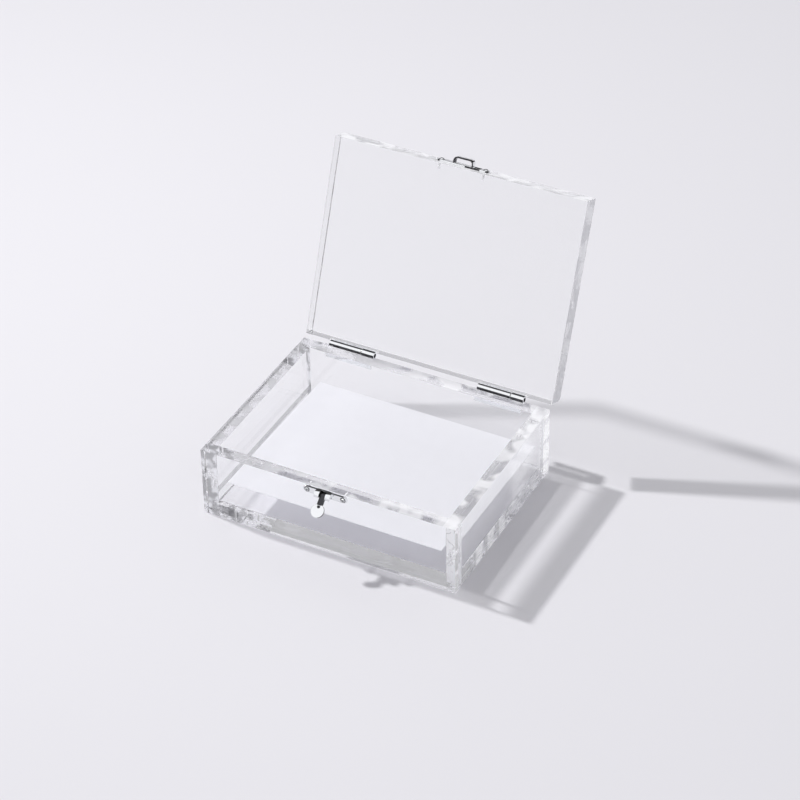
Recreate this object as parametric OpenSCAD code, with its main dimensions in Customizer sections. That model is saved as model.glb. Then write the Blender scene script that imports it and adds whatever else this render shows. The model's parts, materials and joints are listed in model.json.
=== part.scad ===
// Clear storage box with a thick hinged lid, two small tube hinges and a tab-and-staple catch.
// The origin is the middle of the box on the surface it stands on: +X right, +Y back, +Z up.
// The lid is drawn closed and then turned back about the hinge axis to its open rest.

/* [Box] */
// Outer width of the box, along the hinges
box_w = 165; // [120:1:240]
// Outer depth of the box, front to back
box_d = 125; // [90:1:180]
// Height of the walls above the table
box_h = 46; // [38:1:80]
// Thickness of the four walls
wall_t = 8; // [7:0.5:10]
// Thickness of the base panel
base_t = 8; // [4:0.5:12]

/* [Lid] */
// Thickness of the lid plate
lid_t = 13; // [8:0.5:15]
// Gap between the closed lid and the top of the walls
lid_gap = 0.3; // [0.2:0.05:0.6]
// Angle of the lid from closed to its open stop
lid_open = 110.5; // [95:0.5:120]

/* [Hinges] */
// Length of each hinge along its axis
hinge_len = 30.5; // [24:0.5:40]
// Distance from each end of the box to the middle of its hinge
hinge_in = 32.5; // [24:0.5:36]
// Outer diameter of the knuckle tubes
knuckle_d = 4.4; // [3.6:0.1:5]
// Diameter of the hinge pins
hinge_pin_d = 2.4; // [1.6:0.1:2.6]
// Distance of the hinge axis behind the back face of the box
hinge_out = 1.6; // [1.2:0.1:2.2]
// Length of the knuckle on the box leaf
long_knuckle = 21.6; // [14:0.2:22]
// Thickness of the leaves let into the panels
leaf_t = 1.2; // [0.8:0.1:1.4]
// Height of each leaf, from the parting plane
leaf_h = 6; // [5:0.5:7]
// How far each pin ends inside its tube, which leaves the tube ends hollow
pin_inset = 1.5; // [0.5:0.1:3]

/* [Catch on the box] */
// Length of the catch plate
catch_len = 28.5; // [26:0.5:40]
// Height of the catch plate
catch_h = 4.2; // [3.8:0.1:5]
// Thickness of the catch plate and of the keeper plate
plate_t = 1; // [0.8:0.1:1.4]
// Distance from the top of the walls down to the middle of the catch plate
catch_drop = 3; // [3:0.1:5]
// Outer width of the hood over the lever pivot
hood_w = 10; // [9:0.5:12]
// Thickness of the hood sheet
hood_t = 1; // [0.8:0.1:1.2]
// Distance of the lever pivot from the front face of the box
pivot_out = 2.6; // [2.5:0.1:3]
// Diameter of the lever pivot pin
catch_pin_d = 1.2; // [1:0.1:1.4]
// Diameter of the lever knuckle
lever_knuckle_d = 2.8; // [2.4:0.1:3]
// Thickness of the lever sheet
lever_t = 1.1; // [0.8:0.1:1.2]
// Width of the lever arm
arm_w = 3.4; // [2.6:0.1:5]
// Diameter of the round thumb tab
tab_d = 8.4; // [7:0.1:9]
// Distance from the pivot to the middle of the tab
tab_reach = 9.2; // [8.5:0.1:10.5]
// Diameter of the hole in the tab
tab_hole_d = 1.8; // [1.2:0.1:2.4]
// How far the lever stands out from hanging straight down, on its stop
lever_lean = 50; // [32:1:60]

/* [Keeper on the lid] */
// Length of the keeper plate
keeper_len = 34; // [28:0.5:44]
// Height of the keeper plate
keeper_h = 4.2; // [3.8:0.1:5]
// Outer width of the staple
staple_w = 13; // [12.5:0.5:16]
// Height of the staple above the edge of the lid
staple_out = 5.2; // [5:0.1:6]
// Height of the staple's straight legs
staple_leg = 2.4; // [2:0.1:3]
// Thickness of the staple strip
staple_t = 0.9; // [0.7:0.05:1]
// Width of the staple strip, across the keeper plate
staple_strip = 3.6; // [3:0.1:3.7]

/* [Screws] */
// Diameter of the screw heads
head_d = 2.7; // [2.2:0.1:3]
// Height of the screw heads
head_h = 0.7; // [0.5:0.05:1]
// Diameter of the screw shanks
shank_d = 1.4; // [1.2:0.1:1.6]
// Length of the screw shanks below the plates
shank_len = 4.5; // [3:0.5:5]
// Distance from the end of a plate to its screw
screw_in = 2.6; // [2:0.1:4]

/* [Card] */
// Thickness of the blank card
card_t = 0.6; // [0.4:0.1:1.2]
// Gap from the card to the left wall
card_left_gap = 6.5; // [0.5:0.5:12]
// Gap from the card to the right wall
card_right_gap = 3; // [0.5:0.5:12]
// Height of the middle of the card above the base panel
card_lift = 15; // [6:0.5:20]
// How far the card leans down towards the back wall
card_lean = 1.1; // [0:0.1:2]
// Gap between the card and the front and back walls that hold it
card_fit = 0.02; // [0:0.01:0.1]

/* [Clearances] */
// Radial clearance of pins and screws in their holes
bore_fit = 0.05; // [0.02:0.01:0.08]
// Gap between parts that turn past each other
run_gap = 0.3; // [0.2:0.05:0.4]

/* [Hidden] */
$fn = 48;
front_y = -box_d / 2;
back_y = box_d / 2;
inner_w = box_w - 2 * wall_t;
inner_d = box_d - 2 * wall_t;
hinge_x = box_w / 2 - hinge_in;
axis_y = back_y + hinge_out;
axis_z = box_h + lid_gap / 2;
knuckle_r = knuckle_d / 2;
short_knuckle = hinge_len - long_knuckle - run_gap;
leaf_clear = knuckle_r + run_gap;
notch_len = hinge_len + 2 * run_gap;
pivot_y = front_y - pivot_out;
pivot_z = box_h - catch_drop;
lever_knuckle_r = lever_knuckle_d / 2;
hood_inner_w = hood_w - 2 * hood_t;
hood_inner_r = lever_knuckle_r + run_gap;
hood_r = hood_inner_r + hood_t;
keeper_z = box_h + lid_gap + lid_t / 2;
tab_plane = plate_t + run_gap + lever_t / 2;
tab_shift = pivot_out - tab_plane;
card_w = inner_w - card_left_gap - card_right_gap;
card_d = (inner_d - 2 * card_fit - card_t * sin(card_lean)) / cos(card_lean);
cut = 0.5;

// Turns children from the closed position of the lid to its open rest
module on_lid() {
    translate([0, axis_y, axis_z])
        rotate([-lid_open, 0, 0])
            translate([0, -axis_y, -axis_z])
                children();
}

// A box with its lowest corner at a point
module block(corner, size) {
    translate(corner)
        cube(size);
}

// A cylinder along X between two values of X
module rod_x(x0, x1, y, z, d) {
    translate([x0, y, z])
        rotate([0, 90, 0])
            cylinder(h = x1 - x0, d = d);
}

// A cylinder along Y between two values of Y
module rod_y(x, y0, y1, z, d) {
    translate([x, y0, z])
        rotate([-90, 0, 0])
            cylinder(h = y1 - y0, d = d);
}

// The screw places along a plate of a given length
function screw_xs(len) = [-len / 2 + screw_in, len / 2 - screw_in];

// Space for one hinge in the back edge of a panel, from the parting plane up or down
module hinge_notches(z0, height) {
    for (side = [-1, 1])
        block([side * hinge_x - notch_len / 2, back_y - leaf_t, z0],
              [notch_len, leaf_t + cut, height]);
}

module base_panel() {
    color("aliceblue", 0.3)
        block([-inner_w / 2, -inner_d / 2, 0], [inner_w, inner_d, base_t]);
}

module front_wall() {
    color("aliceblue", 0.3)
        difference() {
            block([-box_w / 2, front_y, 0], [box_w, wall_t, box_h]);
            for (x = screw_xs(catch_len))
                rod_y(x, front_y - cut, front_y + shank_len + bore_fit, pivot_z, shank_d + 2 * bore_fit);
        }
}

module back_wall() {
    color("aliceblue", 0.3)
        difference() {
            block([-box_w / 2, back_y - wall_t, 0], [box_w, wall_t, box_h]);
            hinge_notches(box_h - leaf_h, leaf_h + cut);
        }
}

module side_wall(side) {
    x0 = side > 0 ? inner_w / 2 : -box_w / 2;
    color("aliceblue", 0.3)
        block([x0, -inner_d / 2, 0], [wall_t, inner_d, box_h]);
}

module left_wall() {
    side_wall(-1);
}

module right_wall() {
    side_wall(1);
}

module lid_panel() {
    color("aliceblue", 0.3)
        on_lid()
            difference() {
                block([-box_w / 2, front_y, box_h + lid_gap], [box_w, box_d, lid_t]);
                hinge_notches(box_h + lid_gap - cut, leaf_h + cut);
                for (x = screw_xs(keeper_len))
                    rod_y(x, front_y - cut, front_y + shank_len + bore_fit, keeper_z,
                          shank_d + 2 * bore_fit);
            }
}

// One leaf with its knuckle. dir is 1 for the lid leaf above the parting plane and -1 for the box
// leaf below it. The tongue beside the other knuckle is cut back so that the tube turns freely.
module hinge_leaf(centre, dir, knuckle_x0, knuckle_len) {
    edge_z = dir > 0 ? box_h + lid_gap : box_h;
    plate_z = dir > 0 ? axis_z + leaf_clear : box_h - leaf_h;
    plate_h = dir > 0 ? edge_z + leaf_h - plate_z : axis_z - leaf_clear - plate_z;
    tongue_z = dir > 0 ? edge_z : plate_z;
    tongue_h = dir > 0 ? leaf_h : edge_z - plate_z;
    color("silver")
        difference() {
            union() {
                block([centre - hinge_len / 2, back_y - leaf_t, plate_z], [hinge_len, leaf_t, plate_h]);
                block([knuckle_x0, back_y - leaf_t, tongue_z], [knuckle_len, leaf_t, tongue_h]);
                rod_x(knuckle_x0, knuckle_x0 + knuckle_len, axis_y, axis_z, knuckle_d);
            }
            rod_x(knuckle_x0 - cut, knuckle_x0 + knuckle_len + cut, axis_y, axis_z,
                  hinge_pin_d + 2 * bore_fit);
        }
}

module hinge_box_leaf(centre) {
    hinge_leaf(centre, -1, centre - hinge_len / 2, long_knuckle);
}

module hinge_lid_leaf(centre) {
    on_lid()
        hinge_leaf(centre, 1, centre + hinge_len / 2 - short_knuckle, short_knuckle);
}

module hinge_pin(centre) {
    color("gainsboro")
        rod_x(centre - hinge_len / 2 + pin_inset, centre + hinge_len / 2 - pin_inset,
              axis_y, axis_z, hinge_pin_d);
}

module hinge_box_leaf_left() {
    hinge_box_leaf(-hinge_x);
}

module hinge_lid_leaf_left() {
    hinge_lid_leaf(-hinge_x);
}

module hinge_pin_left() {
    hinge_pin(-hinge_x);
}

module hinge_box_leaf_right() {
    hinge_box_leaf(hinge_x);
}

module hinge_lid_leaf_right() {
    hinge_lid_leaf(hinge_x);
}

module hinge_pin_right() {
    hinge_pin(hinge_x);
}

// A strip with round ends, drawn in X and Z and standing proud of the front face towards -Y
module strip(len, height, z) {
    translate([0, front_y, z])
        rotate([90, 0, 0])
            linear_extrude(height = plate_t)
                union() {
                    square([len - height, height], center = true);
                    for (side = [-1, 1])
                        translate([side * (len - height) / 2, 0])
                            circle(d = height);
                }
}

// The hood bends over the top of the pivot from the plate, so its outline stops at the box
module hood() {
    translate([-hood_w / 2, pivot_y, pivot_z])
        rotate([90, 0, 90])
            linear_extrude(height = hood_w)
                intersection() {
                    union() {
                        circle(r = hood_r);
                        square([pivot_out, hood_r]);
                    }
                    translate([-hood_r, 0])
                        square([hood_r + pivot_out, hood_r]);
                }
}

// The space inside the hood, with the slot that lets the lever arm swing up through it
module hood_hollow() {
    inside = hood_inner_w / 2;
    slot_w = arm_w + 2 * run_gap;
    rod_x(-inside, inside, pivot_y, pivot_z, 2 * hood_inner_r);
    block([-inside, pivot_y, pivot_z - hood_r - cut],
          [hood_inner_w, pivot_out - plate_t, hood_inner_r + hood_r + cut]);
    block([-slot_w / 2, pivot_y - hood_r - cut, pivot_z],
          [slot_w, hood_r + cut + pivot_out - plate_t, hood_r + cut]);
}

module hood_cheeks() {
    for (side = [-1, 1]) {
        x0 = side * (hood_w / 2 - hood_t / 2) - hood_t / 2;
        rod_x(x0, x0 + hood_t, pivot_y, pivot_z, 2 * hood_inner_r);
        block([x0, pivot_y, pivot_z - hood_inner_r], [hood_t, pivot_out, 2 * hood_inner_r]);
    }
}

module catch_plate() {
    color("silver")
        difference() {
            union() {
                strip(catch_len, catch_h, pivot_z);
                hood();
                hood_cheeks();
            }
            hood_hollow();
            rod_x(-hood_w / 2 - cut, hood_w / 2 + cut, pivot_y, pivot_z, catch_pin_d + 2 * bore_fit);
            for (x = screw_xs(catch_len))
                rod_y(x, front_y - plate_t - cut, front_y + cut, pivot_z, shank_d + 2 * bore_fit);
        }
}

module catch_pin() {
    color("gainsboro")
        rod_x(-hood_w / 2, hood_w / 2, pivot_y, pivot_z, catch_pin_d);
}

// The lever is drawn pointing straight up, where its tab lies inside the staple, then turned down
module lever_raised() {
    arm_y = -lever_t / 2;
    difference() {
        union() {
            rod_x(-hood_inner_w / 2 + run_gap, hood_inner_w / 2 - run_gap, 0, 0, lever_knuckle_d);
            block([-arm_w / 2, min(arm_y, arm_y + tab_shift), 0],
                  [arm_w, lever_t + abs(tab_shift), tab_reach - tab_d / 2 + lever_t]);
            rod_y(0, tab_shift + arm_y, tab_shift + arm_y + lever_t, tab_reach, tab_d);
        }
        rod_x(-hood_w / 2, hood_w / 2, 0, 0, catch_pin_d + 2 * bore_fit);
        rod_y(0, tab_shift + arm_y - cut, tab_shift + arm_y + lever_t + cut, tab_reach, tab_hole_d);
    }
}

module catch_lever() {
    color("silver")
        translate([0, pivot_y, pivot_z])
            rotate([180 - lever_lean, 0, 0])
                lever_raised();
}

// Round-headed screws along a plate, with a cross slot in each head
module plate_screws(len, z) {
    slot_w = head_d / 6;
    dome_r = (head_d * head_d / 4 + head_h * head_h) / (2 * head_h);
    for (x = screw_xs(len))
        difference() {
            union() {
                translate([x, front_y - plate_t, z])
                    rotate([90, 0, 0])
                        rotate_extrude()
                            intersection() {
                                translate([0, head_h - dome_r])
                                    circle(r = dome_r, $fn = 96);
                                square([head_d, head_h]);
                            }
                rod_y(x, front_y - plate_t, front_y + shank_len, z, shank_d);
            }
            block([x - slot_w / 2, front_y - plate_t - head_h - cut, z - head_d / 3],
                  [slot_w, head_h / 2 + cut, 2 * head_d / 3]);
            block([x - head_d / 3, front_y - plate_t - head_h - cut, z - slot_w / 2],
                  [2 * head_d / 3, head_h / 2 + cut, slot_w]);
        }
}

module catch_screws() {
    color("gainsboro")
        plate_screws(catch_len, pivot_z);
}

// The outline of the staple, drawn towards -Y: straight legs under the arc of a wide circle
module staple_outline(half, top) {
    rise = top - staple_leg;
    arc_r = (half * half + rise * rise) / (2 * rise);
    intersection() {
        translate([0, arc_r - top])
            circle(r = arc_r, $fn = 96);
        translate([-half, -top - cut])
            square([2 * half, top + cut]);
    }
}

// The staple is a bent strip that stands on the keeper plate, open above and below
module staple() {
    translate([0, front_y, keeper_z - staple_strip / 2])
        linear_extrude(height = staple_strip)
            difference() {
                staple_outline(staple_w / 2, staple_out);
                staple_outline(staple_w / 2 - staple_t, staple_out - staple_t);
            }
}

module keeper_plate() {
    color("silver")
        on_lid()
            difference() {
                union() {
                    strip(keeper_len, keeper_h, keeper_z);
                    staple();
                }
                for (x = screw_xs(keeper_len))
                    rod_y(x, front_y - plate_t - cut, front_y + cut, keeper_z, shank_d + 2 * bore_fit);
            }
}

module keeper_screws() {
    color("gainsboro")
        on_lid()
            plate_screws(keeper_len, keeper_z);
}

// One card that is held almost level between the front and back walls, with air under it
module card() {
    color("white")
        translate([(card_left_gap - card_right_gap) / 2, 0, base_t + card_lift])
            rotate([-card_lean, 0, 0])
                cube([card_w, card_d, card_t], center = true);
}

base_panel();
front_wall();
back_wall();
left_wall();
right_wall();
lid_panel();
hinge_box_leaf_left();
hinge_lid_leaf_left();
hinge_pin_left();
hinge_box_leaf_right();
hinge_lid_leaf_right();
hinge_pin_right();
catch_plate();
catch_pin();
catch_lever();
catch_screws();
keeper_plate();
keeper_screws();
card();
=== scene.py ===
"""Clear storage box with a thick hinged lid, two small tube hinges and a tab-and-staple catch."""

import json
import math

import bmesh
import bpy
from bpy.props import FloatProperty, FloatVectorProperty, PointerProperty
from bpy.types import NodeSocket, Operator, Panel, PropertyGroup
from mathutils import Matrix, Vector


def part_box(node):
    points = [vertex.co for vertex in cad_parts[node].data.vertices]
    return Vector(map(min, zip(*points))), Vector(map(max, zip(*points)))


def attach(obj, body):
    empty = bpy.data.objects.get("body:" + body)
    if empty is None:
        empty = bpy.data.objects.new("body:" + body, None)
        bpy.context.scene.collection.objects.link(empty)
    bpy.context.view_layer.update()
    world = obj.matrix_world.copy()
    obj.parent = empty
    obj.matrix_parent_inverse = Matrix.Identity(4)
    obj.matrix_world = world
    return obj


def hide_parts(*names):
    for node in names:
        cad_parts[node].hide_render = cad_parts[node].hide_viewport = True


bl_info = {
    "name": "Clear Box Maker",
    "version": (1, 0, 0),
    "blender": (4, 5, 0),
    "location": "3D View > Sidebar > Clear Box",
    "description": "Dresses the clear storage box: bonded sheet, lid, hinges, catch, card and stage",
    "category": "Object",
}

MM = 0.001
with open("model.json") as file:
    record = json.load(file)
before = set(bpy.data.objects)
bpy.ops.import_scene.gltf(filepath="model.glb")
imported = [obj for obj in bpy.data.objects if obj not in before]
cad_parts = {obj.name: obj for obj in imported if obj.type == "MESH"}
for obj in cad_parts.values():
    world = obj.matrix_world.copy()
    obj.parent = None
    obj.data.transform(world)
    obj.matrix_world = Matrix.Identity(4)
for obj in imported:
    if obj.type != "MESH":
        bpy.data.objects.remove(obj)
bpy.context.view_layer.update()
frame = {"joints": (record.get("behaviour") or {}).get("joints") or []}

# Sizes of the box, read from the solids that the new pieces stand for
FRONT_LOW, FRONT_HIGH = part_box("front_wall")
FRONT_Y = FRONT_LOW.y
BACK_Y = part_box("back_wall")[1].y
BASE_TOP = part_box("base_panel")[1].z
WALL = FRONT_HIGH.y - FRONT_LOW.y
HEIGHT = FRONT_HIGH.z
OUTER_X = (FRONT_HIGH.x - FRONT_LOW.x) / 2
INNER_X = OUTER_X - WALL
JOINTS = {j["name"]: j for j in frame["joints"]}
AXIS = Vector(JOINTS["lid_hinge"]["pos_m"])
LID_OPEN = JOINTS["lid_hinge"]["range_deg"][1]
PIVOT = Vector(JOINTS["lever_pivot"]["pos_m"])

# Sizes of the lid and of the hardware, as in the part's source
LID_T = 13 * MM
LID_GAP = 0.3 * MM
LID_LOW_Z = HEIGHT + LID_GAP
LID_MID_Z = LID_LOW_Z + LID_T / 2
HINGE_X = 50 * MM
HINGE_LEN = 30.5 * MM
LONG_KNUCKLE = 21.6 * MM
RUN_GAP = 0.3 * MM
KNUCKLE_R = 2.2 * MM
BORE_R = 1.25 * MM
PIN_R = 1.2 * MM
PIN_INSET = 1.5 * MM
LEAF_T = 1.2 * MM
LEAF_H = 6 * MM
PLATE_T = 1 * MM
CATCH_LEN = 28.5 * MM
KEEPER_LEN = 34 * MM
STRIP_H = 4.2 * MM
HOOD_W = 10 * MM
HOOD_T = 1 * MM
HOOD_R = 2.7 * MM
CATCH_PIN_R = 0.6 * MM
LEVER_KNUCKLE_R = 1.4 * MM
LEVER_T = 1.1 * MM
LEVER_LEAN = 50
ARM_W = 3.4 * MM
TAB_R = 4.2 * MM
TAB_REACH = 9.2 * MM
TAB_SHIFT = 0.75 * MM
TAB_ROUND = 0.42 * MM
TAB_HOLE_R = 1 * MM
TAB_HOLE_IN = 2.4 * MM
TAB_HOLE_DEEP = 0.6 * MM
STAPLE_W = 13 * MM
STAPLE_OUT = 5.2 * MM
STAPLE_T = 0.9 * MM
STAPLE_STRIP = 3.6 * MM
STAPLE_BEND = 2.7 * MM
SCREW_IN = 2.6 * MM
HEAD_R = 1.35 * MM
HEAD_H = 0.7 * MM
HEAD_ROUND = 0.55 * MM
SLOT_DEEP = 0.32 * MM
SHANK_R = 0.7 * MM
SHANK_LEN = 4.5 * MM
SHANK_TIP = 0.45 * MM
HOLE_R = 0.75 * MM
DISH_R = 1.75 * MM
DISH_DEEP = 0.45 * MM
# Depth of the hollow that is pressed into each strip
HOLLOW_DEEP = 0.3 * MM
# Air left between pieces that touch, so that no two faces lie in one plane
SKIN = 0.04 * MM
# How far a cutter stands out past the face that it cuts
PAST = 1 * MM
# How close a face lies to a place to count as there
NEAR = 0.02 * MM
TOUCH = 0.05 * MM

# Films of cement, and of painted light and painted shade: their thickness, their depth behind an outer face
# and what they keep off a corner
SEAM_T = 0.06 * MM
SEAM_IN = 0.6 * MM
STREAK_IN = 0.9 * MM
LINE_IN = 1.4 * MM
SEAM_GAP = 0.3 * MM
SEAM_FOOT = 0.5 * MM
# Bright streaks in the front wall's foot, cement with a painted highlight, each from x0 to x1 and z0 to z1 in
# millimetres
FRONT_STREAKS = ((-54, -45, 2.6, 4), (-47, -37, 4.1, 5.6), (-55, -48, 9.2, 10.4), (-49, -34, 10.5, 11.5),
                 (-73.5, -66, 8.7, 9.7))
# Bright lines in the right wall's foot, cement with a painted highlight: from the front, from the back, then
# z0 and z1, in millimetres
RIGHT_LINES = ((7, 4, 3.8, 4.5), (67, 26, 6.2, 8.4))

# A place beyond the model, where a mask covers nothing, and one before it, where it covers everything
NOWHERE = 1.0
EVERYWHERE = -1.0


def share_of(name, description, default):
    return FloatProperty(
        name=name, description=description, default=default, min=0, max=1, subtype="FACTOR")


def length_of(name, description, default, least, most):
    return FloatProperty(
        name=name, description=description, default=default, min=least, max=most, precision=5, unit="LENGTH")


def level_of(name, description, default, most):
    return FloatProperty(name=name, description=description, default=default, min=0, max=most)


def angle_of(name, description, degrees):
    return FloatProperty(
        name=name, description=description, default=math.radians(degrees), subtype="ANGLE")


def colour_of(name, description, default):
    return FloatVectorProperty(
        name=name, description=description, default=default, size=3, min=0, max=1, subtype="COLOR")


def place_of(name, description, default):
    return FloatVectorProperty(
        name=name, description=description, default=default, size=3, subtype="TRANSLATION")


class ClearSheetSettings(PropertyGroup):
    """Sizes and finish of the clear sheet."""

    bevel: length_of("Edge bevel", "Width of the polished bevel on each edge of the clear sheet",
                     0.35 * MM, 0.05 * MM, 1 * MM)
    fillet: length_of("Fillet", "Width of the cement fillet along the inner foot of the walls",
                      0.8 * MM, 0.1 * MM, 2 * MM)
    tint: colour_of("Tint", "Colour of the clear sheet", (0.992, 0.994, 0.996))
    rim_pass: share_of("Rim pass", "Share of the lamp's light that passes a narrow rim", 0.2)
    rim_haze: share_of("Rim haze", "Share of light that the flame-polished rims scatter", 0.3)
    ripple: share_of("Ripple", "Strength of the ripple on the flame-polished rims", 0.1)
    foot_pass: share_of("Foot pass", "Share of the lamp's light that passes the foot of the right wall", 0.3)
    end_pass: share_of("Lid end pass", "Share of the lamp's light that passes the lid's right end", 0.2)
    edge_pass: share_of("Lid edge pass", "Share of the lamp's light that passes the lid's other edges", 0.5)
    end_haze: share_of("Lid end haze", "Share of light that the lid's sawn edges scatter", 0.92)


class MetalSettings(PropertyGroup):
    """Finish of the plated hardware."""

    plate_colour: colour_of("Plating", "Colour of the chrome plating", (0.88, 0.89, 0.9))
    pin_colour: colour_of("Pins", "Colour of the pins", (0.2, 0.2, 0.205))
    # Colour of the painted dark plating: painted shade in hollows and slots, and painted dark reflections on
    # the hinge tubes, the lever arm and the tab's edge.
    painted_dark_colour: colour_of(
        "Painted dark tone", "Colour of the plating in hollows, where little light comes", (0.06, 0.06, 0.065))
    # Colour of the painted pale thread: a lighter, rougher copy of the plating, painted light on the shanks
    # so that they show pale and not the dark room they would reflect.
    painted_pale_thread_colour: colour_of("Pale painted threads", "Colour of the shanks, as the sheet shows them", (0.95, 0.95, 0.96))
    softening: length_of("Edge softening", "Radius on the stamped edges of the hardware",
                         0.22 * MM, 0.02 * MM, 0.4 * MM)


class CardSettings(PropertyGroup):
    """The blank card held between the front and back walls."""

    thickness: length_of("Thickness", "Thickness of the card", 0.6 * MM, 0.2 * MM, 2 * MM)
    lean: angle_of("Lean", "How far the card leans down towards the back wall", 1.1)
    colour: colour_of("Card", "Colour of the card", (0.915, 0.915, 0.94))


class StageSettings(PropertyGroup):
    """Floor, light and camera."""

    floor_colour: colour_of("Floor", "Colour of the table", (0.722, 0.714, 0.745))
    key_place: place_of("Key place", "Place of the lamp on the left", (-0.9, 0.03, 0.96))
    key_power: FloatProperty(
        name="Key power", description="Power of the lamp on the left, in watts",
        default=7.85, min=0, max=500, subtype="POWER")
    key_size: length_of("Key size", "Diameter of the lamp on the left", 0.065, 0.01, 1)
    sky: level_of("Soft light", "Level of the soft light overhead", 0.31, 3)
    surround: level_of("Surround", "Level of the pale room around", 1.3, 3)
    ceiling: level_of("Ceiling", "Level of the room above, as the clear sheet shows it", 0.5, 1)
    horizon: level_of("Horizon", "Level of the room at table height, as the clear sheet shows it", 0.98, 2)
    front_horizon: level_of("Front horizon", "Level of the dim side of the room, in front", 0.45, 2)
    backdrop: level_of("Backdrop", "Level of the pale backdrop", 0.78, 1)
    box_level: level_of("Soft box", "Level of the soft box that metal shows", 1.05, 5)
    room: level_of("Room", "Level of the dark room that metal shows", 0.06, 1)
    lens: FloatProperty(
        name="Lens", description="Focal length", default=129.6, min=20, max=300, unit="CAMERA")
    azimuth: angle_of("Azimuth", "Turn of the camera to the right of the front", 27.8353)
    elevation: angle_of("Elevation", "Height of the camera above the table, as an angle", 36.9026)
    roll: angle_of("Roll", "Tilt of the camera about its own axis", -0.8732)
    distance: length_of("Distance", "Distance of the camera from its target", 1.6825, 0.2, 10)
    target: place_of("Target", "Point in the middle of the view", (0.00777, 0.01523, 0.05996))


# Modelling bench: small steps that every piece is made with

def close_piece():
    if bpy.context.mode != "OBJECT":
        bpy.ops.object.mode_set(mode="OBJECT")


def only(piece):
    """Selects one piece in object mode."""
    close_piece()
    bpy.ops.object.select_all(action="DESELECT")
    piece.select_set(True)
    bpy.context.view_layer.objects.active = piece


def open_piece(piece, action="DESELECT"):
    """Starts work on one piece, with nothing else selected and all or none of its mesh."""
    only(piece)
    bpy.ops.object.mode_set(mode="EDIT")
    bpy.ops.mesh.select_all(action=action)


def settle(name):
    """Names the new object and puts its place, turn and size into its mesh."""
    piece = bpy.context.active_object
    piece.name = name
    only(piece)
    bpy.ops.object.transform_apply(location=True, rotation=True, scale=True)
    return piece


def block(name, low, high):
    """A block between two corners, as the start of a piece."""
    low, high = Vector(low), Vector(high)
    bpy.ops.object.select_all(action="DESELECT")
    bpy.ops.mesh.primitive_cube_add(size=1, location=(low + high) / 2, scale=high - low)
    return settle(name)


def rod(name, start, end, radius, sides=48):
    """A round rod between two points on a line along X, Y or Z, as the start of a piece."""
    start, end = Vector(start), Vector(end)
    along = end - start
    bpy.ops.object.select_all(action="DESELECT")
    bpy.ops.mesh.primitive_cylinder_add(
        vertices=sides, radius=radius, depth=along.length, location=(start + end) / 2,
        rotation=along.to_track_quat("Z", "Y").to_euler())
    return settle(name)


def cross_rod(name, centre, x0, x1, radius, sides=48):
    """A round rod along X, through the line of a centre."""
    return rod(name, (x0, centre.y, centre.z), (x1, centre.y, centre.z), radius, sides)


def pick(piece, kind, test):
    """Selects what passes a test in an open piece: a FACE by middle and normal, an EDGE by middle and way."""
    bpy.ops.mesh.select_mode(type=kind)
    mesh = bmesh.from_edit_mesh(piece.data)
    found = 0
    for part in mesh.faces if kind == "FACE" else mesh.edges:
        if kind == "FACE":
            middle, way = part.calc_center_median(), part.normal
        else:
            a, b = (v.co for v in part.verts)
            middle, way = (a + b) / 2, (b - a).normalized()
        chosen = bool(test(middle, way))
        part.select_set(chosen)
        found += chosen
    bmesh.update_edit_mesh(piece.data)
    if not found:
        raise RuntimeError(f"{piece.name}: nothing was found to work on")


def round_off(piece, kind, test, width, segments, profile=0.5):
    """Bevels the edges that pass a test, or the borders of the faces that do."""
    open_piece(piece)
    pick(piece, kind, test)
    bpy.ops.mesh.bevel(offset=width, segments=segments, profile=profile, affect="EDGES")
    close_piece()


def hollow_out(piece, way_test, wall):
    """Opens a piece from end to end and leaves a wall. The test picks its two ends."""
    open_piece(piece)
    pick(piece, "FACE", way_test)
    bpy.ops.mesh.inset(thickness=wall, use_individual=True)
    bpy.ops.mesh.bridge_edge_loops()
    close_piece()


def near(a, b, tolerance=NEAR):
    return abs(a - b) < tolerance


def soften(piece, width, segments=2):
    """Bevels all sharp edges of a piece with a modifier that is applied."""
    only(piece)
    bevel = piece.modifiers.new("Bevel", "BEVEL")
    bevel.width = width
    bevel.segments = segments
    bevel.limit_method = "ANGLE"
    bevel.angle_limit = math.radians(30)
    bevel.use_clamp_overlap = True
    bevel.miter_outer = "MITER_ARC"
    bpy.ops.object.modifier_apply(modifier=bevel.name)


def combine(piece, others, operation="DIFFERENCE"):
    """Cuts the shapes of other objects out of a piece, or adds them to it, and removes them."""
    for other in others:
        only(piece)
        step = piece.modifiers.new("Combine", "BOOLEAN")
        step.operation = operation
        step.solver = "EXACT"
        step.object = other
        bpy.ops.object.modifier_apply(modifier=step.name)
        bpy.data.objects.remove(other, do_unlink=True)


def join(parts):
    """Joins objects into the first of them."""
    only(parts[0])
    for part in parts[1:]:
        part.select_set(True)
    if parts[1:]:
        bpy.ops.object.join()
    return parts[0]


def turn(piece, degrees, centre):
    """Turns a piece right-handed about an axis along X. With no window the operator turns left-handed."""
    open_piece(piece, "SELECT")
    bpy.ops.transform.rotate(value=-math.radians(degrees), orient_axis="X", center_override=centre)
    close_piece()


def open_lid(piece):
    """Turns a piece that was made on the closed lid back to the open rest."""
    turn(piece, -LID_OPEN, AXIS)


def shut(place):
    """Where a point of the open lid lies when the lid is closed."""
    return Matrix.Rotation(math.radians(LID_OPEN), 3, "X") @ (place - AXIS) + AXIS


def shut_way(way):
    """Which way a direction on the open lid points when the lid is closed."""
    return shut(AXIS + way) - AXIS


def off_axis(place, axis):
    """Distance of a point from an axis along X."""
    return math.hypot(place.y - axis.y, place.z - axis.z)


def smooth(piece):
    only(piece)
    bpy.ops.object.shade_smooth_by_angle(angle=math.radians(35))


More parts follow.
